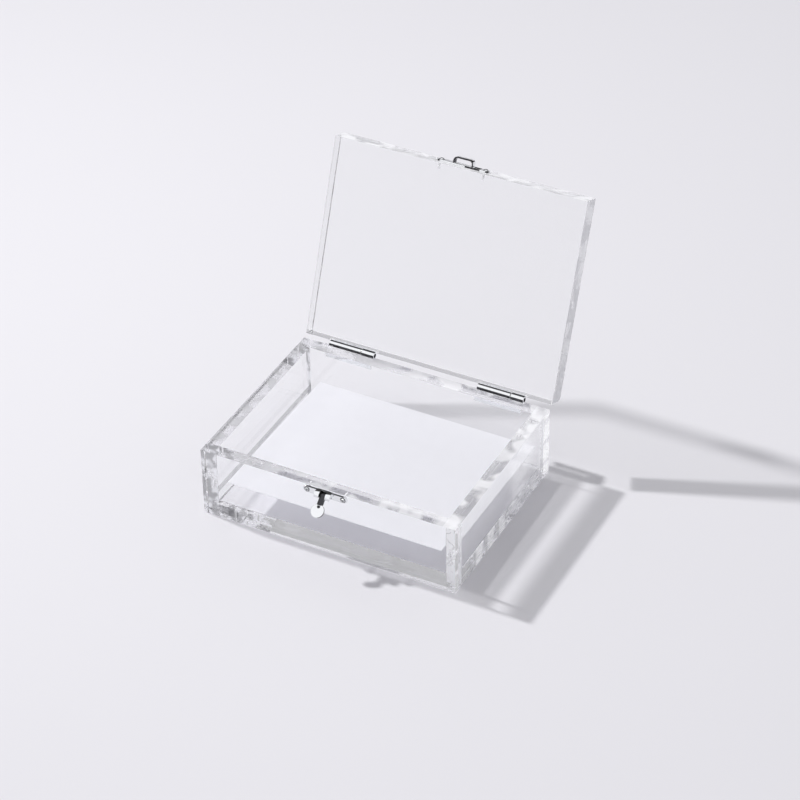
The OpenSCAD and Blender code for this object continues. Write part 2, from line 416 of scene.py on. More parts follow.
def paint(piece, material, test):
    """Gives the faces that pass a test another finish."""
    if material.name not in piece.data.materials:
        piece.data.materials.append(material)
    open_piece(piece)
    pick(piece, "FACE", test)
    piece.active_material_index = piece.data.materials.find(material.name)
    bpy.ops.object.material_slot_assign()
    close_piece()


def finish_piece(piece, material, body, slot, nodes=()):
    """Gives a piece its finish and the body it rides on, and hides the solids it stands for."""
    piece.data.materials.clear()
    piece.data.materials.append(material)
    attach(piece, body)
    if nodes:
        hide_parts(*nodes)


class NodeBench:
    """Adds nodes to one tree, in rows. A value that comes from another node is linked, any other is set."""

    def __init__(self, tree):
        tree.nodes.clear()
        self.tree = tree

    def add(self, kind, sockets=None, **settings):
        node = self.tree.nodes.new(kind if kind.startswith("NodeGroup") else "ShaderNode" + kind)
        row, column = divmod(len(self.tree.nodes) - 1, 8)
        node.location = (column * 240, row * -340)
        for key, value in settings.items():
            setattr(node, key, value)
        for label, value in (sockets or {}).items():
            if isinstance(value, NodeSocket):
                self.tree.links.new(value, node.inputs[label])
            else:
                node.inputs[label].default_value = value
        return node

    def noise(self, where, scale, detail=2, distortion=0):
        sockets = {"Vector": where, "Scale": scale, "Detail": detail, "Distortion": distortion}
        return self.add("TexNoise", sockets).outputs["Fac"]

    def ramp(self, value, start, stop, low=0, high=1, kind="SMOOTHSTEP"):
        """Goes from low to high while the value goes from start to stop."""
        sockets = {"Value": value, "From Min": start, "From Max": stop, "To Min": low, "To Max": high}
        return self.add("MapRange", sockets, interpolation_type=kind).outputs["Result"]

    def math(self, operation, a, b=0, **settings):
        return self.add("Math", {0: a, 1: b}, operation=operation, **settings).outputs["Value"]

    def split(self, vector):
        return self.add("SeparateXYZ", {0: vector}).outputs

    def mix(self, share, a, b, kind="FLOAT"):
        return self.add("Mix", {"Factor": share, "A": a, "B": b}, data_type=kind).outputs["Result"]

    def bump(self, height, strength, distance):
        sockets = {"Height": height, "Strength": strength, "Distance": distance}
        return self.add("Bump", sockets).outputs["Normal"]

    def group(self, group, **sockets):
        """Places a node group. An underscore in a socket's name stands for a space."""
        named = {label.replace("_", " "): value for label, value in sockets.items()}
        return self.add("Group", named, node_tree=group).outputs

    def shader(self, kind, colour, **sockets):
        """A plain shader, or the Principled one, whose colour socket is its first."""
        named = {label.replace("_", " "): value for label, value in sockets.items()}
        return self.add("Bsdf" + kind, {0: colour, **named}).outputs["BSDF"]

    def mix_shaders(self, share, first, second):
        return self.add("MixShader", {"Fac": share, 1: first, 2: second}).outputs["Shader"]

    def scatter(self, colour, through):
        """Light that is thrown back and light that comes through, as in cement and in the painted wall light.
        """
        return self.mix_shaders(through, self.shader("Diffuse", colour), self.shader("Translucent", colour))


# Effects that more than one finish uses

def group_named(name, inputs, outputs, build):
    """The node group of that name, made once. build gets what comes in and returns what goes out."""
    if name not in bpy.data.node_groups:
        group = bpy.data.node_groups.new(name, "ShaderNodeTree")
        group.interface.new_socket(name="Vector", in_out="INPUT", socket_type="NodeSocketVector")
        for label, default in inputs.items():
            kind = "NodeSocketColor" if isinstance(default, tuple) else "NodeSocketFloat"
            group.interface.new_socket(name=label, in_out="INPUT", socket_type=kind).default_value = default
        for label, kind in outputs.items():
            group.interface.new_socket(name=label, in_out="OUTPUT", socket_type=kind)
        bench = NodeBench(group)
        bench.add("NodeGroupOutput", build(bench, bench.add("NodeGroupInput").outputs))
    return bpy.data.node_groups[name]


def handling_group():
    """Faint smears and fine hairlines that a wiped, glossy surface keeps."""
    def build(bench, given):
        smear = bench.ramp(bench.noise(given["Vector"], given["Smear scale"], 4, 1.2), 0.5, 0.78)
        drawn = bench.add(
            "Mapping", {"Vector": given["Vector"], "Rotation": (0.3, 0.5, 0.9), "Scale": (0.04, 1, 1)})
        return {
            "Roughness": bench.ramp(
                smear, 0, 1, given["Gloss roughness"], given["Smear roughness"], "LINEAR"),
            "Height": bench.noise(drawn.outputs["Vector"], given["Hairline scale"])}

    return group_named(
        "Handling marks",
        {"Gloss roughness": 0.02, "Smear roughness": 0.08, "Smear scale": 60.0, "Hairline scale": 900.0},
        {"Roughness": "NodeSocketFloat", "Height": "NodeSocketFloat"}, build)


def mottling_group():
    """Faint cloudy change between two near colours, as paper and table tops show."""
    def build(bench, given):
        cloud = bench.noise(given["Vector"], given["Scale"], given["Detail"])
        return {"Color": bench.mix(cloud, given["Darker"], given["Lighter"], "RGBA")}

    grey = (0.8, 0.8, 0.8, 1.0)
    return group_named("Faint mottling", {"Scale": 100.0, "Detail": 2.0, "Darker": grey, "Lighter": grey},
                       {"Color": "NodeSocketColor"}, build)


def rim_group():
    """Where a point lies on a narrow rim: above a level, or beyond either end along X."""
    def build(bench, given):
        place = bench.split(given["Vector"])
        above = bench.math("GREATER_THAN", place["Z"], given["Level"])
        beyond = bench.math("GREATER_THAN", bench.math("ABSOLUTE", place["X"]), given["End"])
        return {"Mask": bench.math("MAXIMUM", above, beyond)}

    return group_named("Rim mask", {"Level": NOWHERE, "End": NOWHERE}, {"Mask": "NodeSocketFloat"}, build)


def shade_group():
    """Share of the lamp's light that passes a wall past a level along X, in three bands from its foot up."""
    def build(bench, given):
        place = bench.split(given["Vector"])

        def step(level, spread, below, above):
            rise = bench.math("SUBTRACT", place["Z"], given[level])
            return bench.ramp(rise, -spread, spread, below, above)

        lower = step("Foot top", 3.5 * MM, given["Foot"], given["Middle"])
        upper = step("Rim foot", 6.5 * MM, lower, given["Rim"])
        return {"Share": bench.mix(bench.math("GREATER_THAN", place["X"], given["Level"]), 1, upper)}

    return group_named(
        "Wall shade",
        {"Level": NOWHERE, "Foot": 0.5, "Middle": 1.0, "Rim": 0.3, "Foot top": 0.02, "Rim foot": 0.03},
        {"Share": "NodeSocketFloat"}, build)


# Finishes

def finish_named(name, build):
    """The material of that name, made once. build gets a bench and the place of each point."""
    if name not in bpy.data.materials:
        material = bpy.data.materials.new(name)
        material.use_nodes = True
        bench = NodeBench(material.node_tree)
        bench.add("OutputMaterial", {"Surface": build(bench, bench.add("TexCoord").outputs["Object"])})
    return bpy.data.materials[name]


def clear_finish(name, shades, rim_z=NOWHERE, ends=NOWHERE, haze=(0, 0), haze_colour=(0.9, 0.9, 0.92),
                 ripple=0.0, painted_highlight_x=NOWHERE, painted_shade_x=NOWHERE, slant=9):
    """Clear sheet. Light from the lamp goes straight on through it, less at a slant and least at the rims.

    Haze lies on the rims. Its colour goes from haze_colour to near white round painted_shade_x, so that a
    grey haze colour paints shade on that side, and past painted_highlight_x there is more of it, a painted
    highlight."""
    drift, painted_highlight_haze = 35 * MM, 0.15

    def build(bench, where):
        rim = bench.group(rim_group(), Vector=where, Level=rim_z, End=ends)["Mask"]
        marks = bench.group(handling_group(), Vector=where, Gloss_roughness=0.0, Smear_roughness=0.012,
                            Smear_scale=90.0, Hairline_scale=700.0)
        wave = bench.noise(where, 100, 0.5, 0.4)
        relief = bench.bump(wave, bench.ramp(rim, 0, 1, 0, ripple, "LINEAR"), 0.6 * MM)
        glass = bench.shader("Principled", (*bpy.context.scene.clear_sheet.tint, 1), IOR=1.49,
                             Transmission_Weight=1, Roughness=marks["Roughness"], Normal=relief)
        x = bench.split(where)["X"]
        # A grey haze colour on one side paints shade on the rims, and the extra haze past a level along X
        # paints a highlight.
        tone = bench.mix(bench.ramp(x, painted_shade_x - drift, painted_shade_x + drift), (*haze_colour, 1),
                         (0.92, 0.92, 0.94, 1), "RGBA")
        extra = bench.math("MULTIPLY", bench.math("GREATER_THAN", x, painted_highlight_x), painted_highlight_haze)
        cloud = bench.math("ADD", bench.ramp(wave, 0.42, 0.64, *haze), extra, use_clamp=True)
        body = bench.mix_shaders(bench.math("MULTIPLY", cloud, rim), glass, bench.shader("Diffuse", tone))
        steep = bench.math("POWER", bench.add("LayerWeight").outputs["Facing"], slant)
        shade = bench.group(shade_group(), Vector=where, **shades)["Share"]
        passed = bench.math("MULTIPLY", bench.ramp(steep, 0, 1, 0.96, 0.1, "LINEAR"), shade)
        path = bench.add("LightPath").outputs
        through = bench.shader("Transparent", bench.mix(path["Is Shadow Ray"], 1, passed))
        aside = bench.math("MAXIMUM", path["Is Shadow Ray"], path["Is Diffuse Ray"])
        return bench.mix_shaders(aside, body, through)

    return finish_named(name, build)


def box_sheet():
    """Clear sheet of the box, whose rims are the tops of the walls. Its right wall throws a banded shadow."""
    look = bpy.context.scene.clear_sheet
    shades = {"Level": OUTER_X - 0.1 * MM, "Foot": look.foot_pass, "Middle": 1.0, "Rim": look.rim_pass,
              "Foot_top": 22 * MM, "Rim_foot": 31 * MM}
    # The rims' grey haze colour left of x = -15 mm is painted shade, and the extra haze on the right wall is
    # a painted highlight.
    return clear_finish(
        "Clear acrylic box", shades, rim_z=HEIGHT - 0.1 * MM, haze=(0.1 * look.rim_haze, 1.9 * look.rim_haze),
        haze_colour=(0.44, 0.44, 0.455), ripple=look.ripple, painted_highlight_x=INNER_X, painted_shade_x=-15 * MM, slant=5)


def lid_sheet(name="Clear acrylic lid", passed=1.0, **sawn):
    """Clear sheet of the lid. Its sawn edges are cloudy and let less of the lamp's light go on."""
    shades = {"Level": EVERYWHERE, "Foot": passed, "Middle": passed, "Rim": passed}
    return clear_finish(name, shades, ends=EVERYWHERE if sawn else NOWHERE, **sawn)


def metal(name):
    """A plated finish, with the settings that hold its colour, its gloss and its smears."""
    # The dark copy of the plating paints shade in hollows and dark reflections on rounded parts. The pale
    # copy paints light on the shanks.
    setting, gloss, smear = {
        "Chrome plate": ("plate_colour", 0.05, 0.14), "Plated pin": ("pin_colour", 0.12, 0.24),
        "Painted dark plating": ("painted_dark_colour", 0.22, 0.34), "Painted pale thread": ("painted_pale_thread_colour", 0.5, 0.6)}[name]

    def build(bench, where):
        marks = bench.group(handling_group(), Vector=where, Gloss_roughness=gloss, Smear_roughness=smear,
                            Smear_scale=420.0, Hairline_scale=5200.0)
        colour = (*getattr(bpy.context.scene.box_metal, setting), 1)
        return bench.shader("Principled", colour, Metallic=1, Roughness=marks["Roughness"],
                            Normal=bench.bump(marks["Height"], 0.12, 0.01 * MM))

    return finish_named(name, build)


def mottled(bench, where, colour, darker, scale, detail):
    """A colour that clouds between a darker and a lighter tone of itself."""
    low, high = ((*(min(1, tone * c) for c in colour), 1) for tone in (darker, 1.01))
    made = bench.group(mottling_group(), Vector=where, Scale=scale, Detail=detail, Darker=low, Lighter=high)
    return made["Color"]


def card_finish():
    def build(bench, where):
        tone = mottled(bench, where, bpy.context.scene.box_card.colour, 0.985, 140, 3)
        fibre = bench.bump(bench.noise(where, 900, 6), 0.25, 0.02 * MM)
        face = bench.shader("Principled", tone, Roughness=0.78, Specular_IOR_Level=0.3, Normal=fibre)
        return bench.mix_shaders(0.42, face, bench.shader("Translucent", tone))

    return finish_named("White card", build)


def floor_finish():
    def build(bench, where):
        tone = mottled(bench, where, bpy.context.scene.box_stage.floor_colour, 0.99, 3, 2)
        return bench.shader("Principled", tone, Roughness=0.9, Specular_IOR_Level=0.1)

    return finish_named("Pale table", build)


def cement(name, colour, cover, scale, passed=0.98, start=0.42, stop=0.6, stretch=1, dark=1):
    """A film of cement, clear in places and cloudy in others. Where dark is under 1, some patches are darker,
    painted shade.
    """
    def build(bench, where):
        drawn = bench.add("Mapping", {"Vector": where, "Rotation": (0, 0.12, 0), "Scale": (stretch, 1, 1)})
        cloud = bench.noise(drawn.outputs["Vector"], scale, 2, 0.8)
        tone = (*colour, 1)
        if dark < 1:
            patch = bench.ramp(bench.noise(where, 0.8 * scale, 1), 0.44, 0.56)
            tone = bench.mix(patch, (*(dark * c for c in colour), 1), tone, "RGBA")
        clear = bench.shader("Transparent", (passed, passed, passed, 1))
        share = bench.ramp(cloud, start, stop, 0.15 * cover, cover)
        return bench.mix_shaders(share, clear, bench.scatter(tone, 0.5))

    return finish_named(name, build)


def painted_wall_light():
    """Painted light in the right wall: a pale film, thicker at its foot and behind the middle, that lightens
    the wall as if light gathered in it. It throws no shadow.
    """
    def build(bench, where):
        place = bench.split(where)
        foot = bench.ramp(place["Z"], 9 * MM, 15 * MM, 0.1, 0.05)
        rise = bench.ramp(place["Y"], 2 * MM, 24 * MM, 0, 0.13)
        fall = bench.ramp(place["Y"], 26 * MM, 44 * MM, 1, 0)
        uneven = bench.ramp(bench.noise(where, 75, 1, 0.6), 0.38, 0.62, 0.7, 1.2)
        share = bench.math("MULTIPLY", bench.math("ADD", foot, bench.math("MULTIPLY", rise, fall)), uneven)
        seen = bench.math("SUBTRACT", 1, bench.add("LightPath").outputs["Is Shadow Ray"])
        clear = bench.shader("Transparent", (1, 1, 1, 1))
        return bench.mix_shaders(bench.math("MULTIPLY", share, seen), clear,
                                 bench.scatter((0.97, 0.97, 0.98, 1), 0.85))

    return finish_named("Painted wall light", build)


# Shapes that more than one piece uses

FACE_Y = FRONT_Y - PLATE_T
HEAD_Y = FACE_Y - HEAD_H


def softening():
    return bpy.context.scene.box_metal.softening


def screw_places(length):
    return (-length / 2 + SCREW_IN, length / 2 - SCREW_IN)


def hinge_cutters(low_z, high_z):
    half = HINGE_LEN / 2 + RUN_GAP
    return [block("notch_cutter", (side * HINGE_X - half, BACK_Y - LEAF_T, low_z),
                  (side * HINGE_X + half, BACK_Y + PAST, high_z)) for side in (-1, 1)]


def screw_cutters(length, z):
    return [rod("hole_cutter", (x, FRONT_Y - PAST, z), (x, FRONT_Y + SHANK_LEN, z), HOLE_R, 24)
            for x in screw_places(length)]


def strip(name, length, z):
    """A flat strip with round ends on the front face."""
    piece = block(name, (-length / 2, FACE_Y, z - STRIP_H / 2), (length / 2, FRONT_Y - SKIN, z + STRIP_H / 2))
    round_off(piece, "EDGE", lambda middle, way: abs(way.y) > 0.9, STRIP_H / 2 - 0.01 * MM, 12)
    round_off(piece, "FACE", lambda middle, normal: normal.y < -0.9, softening(), 3)
    return piece


def sink_dishes(plate, length, z):
    """Sinks a shallow dish round each screw of a strip."""
    combine(plate, [rod("dish_cutter", (x, FACE_Y - PAST, z), (x, FACE_Y + DISH_DEEP, z), DISH_R, 40)
                    for x in screw_places(length)])


def in_dish(place, length, z):
    """Whether a point lies in the dish round a screw, below the strip's face."""
    return FACE_Y + TOUCH < place.y < FRONT_Y - 4 * TOUCH and any(
        math.hypot(place.x - x, place.z - z) < DISH_R + TOUCH for x in screw_places(length))


def in_slot(middle, normal):
    """Whether a face lies in the cross slot of a screw's head."""
    return HEAD_Y + NEAR < middle.y < HEAD_Y + SLOT_DEEP + NEAR and (
        normal.y < -0.9 or (abs(normal.y) < 0.1 and max(abs(normal.x), abs(normal.z)) > 0.99))


def finish_plated(piece, body, node, painted_dark_faces=None):
    """Smooths a piece of hardware and plates it, with painted shade and painted dark reflections on the faces
    that painted_dark_faces picks. A pin has none of these faces.
    """
    smooth(piece)
    plating, slot = ("Chrome plate", "chrome_plate") if painted_dark_faces else ("Plated pin", "chrome_pin")
    finish_piece(piece, metal(plating), body, slot, (node,))
    if painted_dark_faces:
        paint(piece, metal("Painted dark plating"), painted_dark_faces)


def pivot_pin(name, centre, x0, x1, radius, sides, softness, node):
    """A plated pin along X with soft ends, on the box."""
    pin = cross_rod(name, centre, x0, x1, radius, sides)
    soften(pin, softness)
    finish_plated(pin, "box", node)


def screw(name, x, z):
    """A round-headed screw with a cross slot, its shank in the sheet."""
    head = rod(name, (x, FACE_Y, z), (x, HEAD_Y, z), HEAD_R, 32)
    round_off(head, "FACE", lambda middle, normal: normal.y < -0.9, HEAD_ROUND, 5, 0.6)
    narrow, wide = HEAD_R / 6, HEAD_R * 0.62
    combine(head, [block("slot_cutter", (x - a, HEAD_Y - PAST, z - b), (x + a, HEAD_Y + SLOT_DEEP, z + b))
                   for a, b in ((narrow, wide), (wide, narrow))])
    shank = rod("shank", (x, FRONT_Y - PLATE_T / 2, z), (x, FRONT_Y + SHANK_LEN - SKIN, z), SHANK_R, 24)
    round_off(shank, "FACE", lambda middle, normal: normal.y > 0.9, SHANK_TIP, 1)
    return join([head, shank])


def fixings(name, length, z, body, node):
    """Makes the two screws of a strip. Those on the lid are turned open with it."""
    pair = join([screw(name, x, z) for x in screw_places(length)])
    home, home_way = (shut, shut_way) if body == "lid" else (Vector, Vector)
    if body == "lid":
        open_lid(pair)
    smooth(pair)
    finish_piece(pair, metal("Chrome plate"), body, "chrome_pin", (node,))
    # The cross slots of the screw heads get painted shade.
    paint(pair, metal("Painted dark plating"), lambda middle, normal: in_slot(home(middle), home_way(normal)))
    # The shanks get the painted pale thread, painted light.
    paint(pair, metal("Painted pale thread"), lambda middle, normal: home(middle).y > FRONT_Y)


class CLEARBOX_OT_bonded_box(Operator):
    """Makes the box of thick clear sheet, bonded at its edges"""

    bl_idname = "clearbox.bonded_box"
    bl_label = "Bonded box"

    def execute(self, context):
        look = context.scene.clear_sheet
        piece = block("bonded_box", (-OUTER_X, FRONT_Y, 0), (OUTER_X, BACK_Y, HEIGHT))
        open_piece(piece)
        pick(piece, "FACE", lambda middle, normal: normal.z > 0.9)
        bpy.ops.mesh.inset(thickness=WALL)
        bpy.ops.mesh.extrude_region_move(TRANSFORM_OT_translate={"value": (0, 0, BASE_TOP - HEIGHT)})
        round_off(piece, "EDGE", lambda middle, way: near(middle.z, BASE_TOP), look.fillet, 4)
        combine(piece, hinge_cutters(HEIGHT - LEAF_H, HEIGHT + PAST))
        combine(piece, screw_cutters(CATCH_LEN, PIVOT.z))
        soften(piece, look.bevel)
        finish_piece(piece, box_sheet(), "box", "clear_acrylic",
                     ("base_panel", "front_wall", "back_wall", "left_wall", "right_wall"))
        return {"FINISHED"}


class CLEARBOX_OT_seams(Operator):
    """Makes the thin films of cement in the joints of the box, and films of painted light and painted shade
    in its walls
    """

    bl_idname = "clearbox.seams"
    bl_label = "Cement seams"

    def films(self, name, finish, *corners):
        """One piece of thin blocks, each between two corners."""
        piece = join([block(name, low, high) for low, high in corners])
        finish_piece(piece, finish, "box", "clear_acrylic")
        return piece

    def across(self, x0, x1, z0, z1):
        """Corners of two films across the box, at the inner faces of the front and back walls."""
        return [((x0, y - SEAM_T / 2, z0), (x1, y + SEAM_T / 2, z1)) for y in (FRONT_Y + WALL, BACK_Y - WALL)]

    def execute(self, context):
        rim = HEIGHT - SEAM_IN
        # The left upright films carry dark patches, painted shade.
        self.films("left_upright_seams",
                   cement("Patchy cement with painted shade", (0.95, 0.95, 0.97), 0.85, 150, start=0.34, stop=0.5, dark=0.62),
                   *self.across(SEAM_IN - OUTER_X, -INNER_X - SEAM_GAP, SEAM_IN, rim))
        self.films("right_upright_seams",
                   cement("Cloudy cement", (0.97, 0.97, 0.98), 0.9, 150, start=0.34, stop=0.5),
                   *self.across(INNER_X + SEAM_GAP, OUTER_X - SEAM_IN, SEAM_IN, rim))

        low, high = SEAM_FOOT, BASE_TOP - SEAM_IN
        front, back = FRONT_Y + WALL + SEAM_GAP, BACK_Y - WALL - SEAM_GAP
        self.films("right_foot_seam", cement("Thin cement", (0.8, 0.8, 0.82), 0.12, 90, passed=0.94),
                   ((INNER_X - SEAM_T / 2, front, low), (INNER_X + SEAM_T / 2, back, high)))
        # A pale film in the right wall paints light into it.
        x = OUTER_X - STREAK_IN
        self.films("right_wall_painted_light", painted_wall_light(),
                   ((x, FRONT_Y + STREAK_IN, 0.4 * MM), (x + SEAM_T, BACK_Y - STREAK_IN, HEIGHT - 1.5 * MM)))

        # These bright streaks and lines are cement with painted highlights in the walls' feet.
        x, y = OUTER_X - LINE_IN, FRONT_Y + STREAK_IN
        streaks = [((x0 * MM, y, z0 * MM), (x1 * MM, y + SEAM_T, z1 * MM))
                   for x0, x1, z0, z1 in FRONT_STREAKS]
        streaks += [((x, FRONT_Y + ahead * MM, z0 * MM), (x + SEAM_T, BACK_Y - behind * MM, z1 * MM))
                    for ahead, behind, z0, z1 in RIGHT_LINES]
        self.films("foot_streaks", cement("Bright cement with painted highlight", (0.97, 0.97, 0.98), 0.8, 90, start=0.3, stop=0.45),
                   *streaks)

        # A grey film paints a shade line along the inner foot of the left wall, beside the card's edge.
        x = -INNER_X - 0.35 * MM
        self.films("left_foot_shade_line", cement("Grey painted shade line", (0.5, 0.5, 0.52), 0.15, 120, passed=0.83),
                   ((x, front, BASE_TOP + 6.4 * MM), (x + SEAM_T, back, BASE_TOP + 10.6 * MM)))
        # A dark film paints shade in the front wall's foot near the left corner.
        patch = self.films("left_corner_shade_patch", cement("Dark painted shade patch", (0.2, 0.2, 0.21), 0.2, 120, passed=0.8),
                           ((-72.5 * MM, y, 2.4 * MM), (-59.5 * MM, y + SEAM_T, 8.6 * MM)))
        round_off(patch, "EDGE", lambda middle, way: abs(way.y) > 0.9, 2.6 * MM, 6)
        self.films("end_foot_seams",
                   cement("Streaked cement", (0.95, 0.95, 0.97), 0.2, 230,
                          start=0.58, stop=0.66, stretch=0.12),
                   *self.across(SEAM_GAP - INNER_X, INNER_X - SEAM_GAP, low, high))
        return {"FINISHED"}


class CLEARBOX_OT_lid_plate(Operator):
    """Makes the thick clear lid"""

    bl_idname = "clearbox.lid_plate"
    bl_label = "Lid plate"

    def execute(self, context):
        look = context.scene.clear_sheet
        piece = block("lid_plate", (-OUTER_X, FRONT_Y, LID_LOW_Z), (OUTER_X, BACK_Y, LID_LOW_Z + LID_T))
        combine(piece, hinge_cutters(LID_LOW_Z - PAST, LID_LOW_Z + LEAF_H))
        combine(piece, screw_cutters(KEEPER_LEN, LID_MID_Z))
        soften(piece, look.bevel)
        open_lid(piece)
        finish_piece(piece, lid_sheet(), "lid", "clear_acrylic", ("lid_panel",))

        def on_free_edge(middle, normal):
            return shut_way(normal).y < -0.98 and shut(middle).y < FRONT_Y + 2 * TOUCH

        def on_left_bevel(middle, normal):
            return -0.95 < normal.x < -0.3 and middle.x < look.bevel - OUTER_X

        # The right end's grey haze colour is painted shade on its sawn haze, and the dark haze on the left
        # bevels paints a dark line along them.
        cloud, right, rest = look.end_haze, look.end_pass, look.edge_pass
        for name, haze, passed, colour, test in (
                ("Sawn right end with painted shade", (0.6 * cloud, cloud), right, (0.62, 0.62, 0.64),
                 lambda middle, normal: normal.x > 0.98),
                ("Sawn left end", (0, 0.02), rest, (0.95, 0.95, 0.97),
                 lambda middle, normal: normal.x < -0.98),
                ("Sawn free edge", (0.3 * cloud, cloud), rest, (0.88, 0.88, 0.9), on_free_edge),
                ("Left bevel with painted dark line", (0.55 * cloud, 0.75 * cloud), rest, (0.3, 0.3, 0.31), on_left_bevel)):
            paint(piece, lid_sheet(name, passed, haze=haze, haze_colour=colour), test)
        return {"FINISHED"}


class CLEARBOX_OT_hinges(Operator):
    """Makes the two tube hinges, each with two leaves and a pin"""

    bl_idname = "clearbox.hinges"
    bl_label = "Hinges"

    def half(self, name, centre, x0, x1, on_lid):
        """A leaf with its hollow knuckle, and a tongue that joins them beside the other knuckle."""
        piece = cross_rod(name, AXIS, x0, x1, KNUCKLE_R, 64)
        hollow_out(piece, lambda middle, normal: abs(normal.x) > 0.9, KNUCKLE_R - BORE_R)
        soften(piece, softening(), 3)
        up, edge = (1, LID_LOW_Z) if on_lid else (-1, HEIGHT)
        far, clear = edge + up * LEAF_H, AXIS.z + up * (KNUCKLE_R + RUN_GAP)
        root = clear + up * 0.3 * MM
        leaf = block("leaf", (centre - HINGE_LEN / 2, BACK_Y - LEAF_T + SKIN, min(clear, far)),
                     (centre + HINGE_LEN / 2, BACK_Y, max(clear, far)))
        tongue = block("tongue", (x0, BACK_Y - LEAF_T + 2 * SKIN, min(edge, root)),
                       (x1, BACK_Y - SKIN, max(edge, root)))
        for part in (leaf, tongue):
            soften(part, softening())
        join([piece, leaf, tongue])
        if on_lid:
            open_lid(piece)
        return piece

    def dark(self, middle, normal):
        """Whether a face gets painted dark plating: painted shade in the bore, and a painted dark reflection
        on the tube's lower side and on the line along its top.
        """
        away = off_axis(middle, AXIS)
        if away > KNUCKLE_R + 0.03 * MM or away < BORE_R + 0.3 * MM:
            return away < KNUCKLE_R
        rise = math.degrees(math.atan2(middle.z - AXIS.z, AXIS.y - middle.y))
        # The tube's painted dark reflection covers these two bands of angle round its axis.
        return abs(normal.x) < 0.5 and (-110 < rise < 31 or 74 < rise < 118)

    def execute(self, context):
        for side, word in ((-1, "left"), (1, "right")):
            centre = side * HINGE_X
            start, end = centre - HINGE_LEN / 2, centre + HINGE_LEN / 2
            split = start + LONG_KNUCKLE
            for body, x0, x1 in (("box", start, split), ("lid", split + RUN_GAP, end)):
                piece = self.half(f"hinge_{body}_half_{word}", centre, x0, x1, body == "lid")
                finish_plated(piece, body, f"hinge_{body}_leaf_{word}", self.dark)
            pivot_pin("hinge_rod_" + word, AXIS, start + PIN_INSET, end - PIN_INSET, PIN_R, 32,
                      0.25 * MM, "hinge_pin_" + word)
        return {"FINISHED"}


class CLEARBOX_OT_catch(Operator):
    """Makes the catch plate with its hood, pin and screws"""

    bl_idname = "clearbox.catch"
    bl_label = "Catch"

    def hood(self):
        """A bent cover over the lever's pivot, open below, with a slot for the arm."""
        half, far, (y, z) = HOOD_W / 2, 5 * MM, PIVOT.yz
        hood = cross_rod("hood", PIVOT, -half, half, HOOD_R, 64)
        combine(hood, [block("hood_back", (-half, y, z), (half, FRONT_Y - SKIN, z + HOOD_R))], "UNION")
        slot = ARM_W / 2 + RUN_GAP
        combine(hood, [
            cross_rod("hood_inside", PIVOT, HOOD_T - half, half - HOOD_T, HOOD_R - HOOD_T),
            block("hood_below", (-HOOD_W, y - far, z - far), (HOOD_W, FRONT_Y + far, z - 0.2 * MM)),
            block("hood_slot", (-slot, y - far, z - PAST), (slot, FACE_Y, z + far))])
        soften(hood, 0.12 * MM)
        return hood

    def dark(self, middle, normal):
        """Whether a face gets painted shade: in a dish, inside the hood and on the sides of its slot."""
        within = abs(middle.x) < HOOD_W / 2 - HOOD_T / 2
        return (in_dish(middle, CATCH_LEN, PIVOT.z)
                or (within and off_axis(middle, PIVOT) < HOOD_R - HOOD_T + 2 * TOUCH)
                or (within and FACE_Y < middle.y < FRONT_Y - HOLLOW_DEEP)
                or (near(abs(middle.x), ARM_W / 2 + RUN_GAP, 2 * TOUCH) and abs(normal.x) > 0.7))

    def execute(self, context):
        plate = strip("catch_strip", CATCH_LEN, PIVOT.z)
        sink_dishes(plate, CATCH_LEN, PIVOT.z)
        inside = HOOD_W / 2 - HOOD_T
        combine(plate, [block("hollow_cutter", (-inside, FACE_Y - PAST, PIVOT.z - 1.6 * MM),
                              (inside, FACE_Y + HOLLOW_DEEP, PIVOT.z + 1.4 * MM))])
        join([plate, self.hood()])
        finish_plated(plate, "box", "catch_plate", self.dark)
        pivot_pin("catch_rod", PIVOT, -HOOD_W / 2, HOOD_W / 2, CATCH_PIN_R, 24, 0.12 * MM, "catch_pin")
        fixings("catch_fixings", CATCH_LEN, PIVOT.z, "box", "catch_screws")
        return {"FINISHED"}


